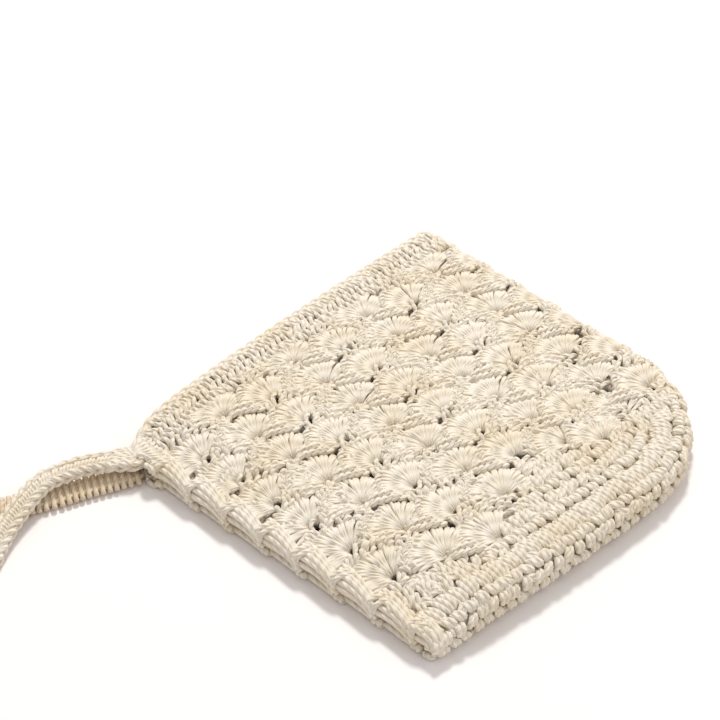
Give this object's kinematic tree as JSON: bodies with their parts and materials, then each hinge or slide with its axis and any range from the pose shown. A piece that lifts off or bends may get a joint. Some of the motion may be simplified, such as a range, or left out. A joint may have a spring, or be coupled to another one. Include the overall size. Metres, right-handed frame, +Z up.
{
  "type": "wool bonnet",
  "caption": "Crocheted wool bonnet folded flat on its crown, in shell stitch with a ribbed face band, a plain back panel and two flat ties.",
  "frame": {"origin": "the middle of the bonnet's underside, on the surface that it lies on", "axes": "+X from the face edge to the back of the head, +Y from the neck edge to the crown fold, +Z up"},
  "size_m": [0.1726, 0.2464, 0.014],
  "materials": {
    "wool": "undyed cream wool yarn, plied, crocheted"
  },
  "bodies": {
    "root": {"shell_crown": "wool", "face_band": "wool", "back_panel": "wool", "neck_edging": "wool", "tie_upper": "wool", "tie_lower": "wool"}
  },
  "joints": []
}
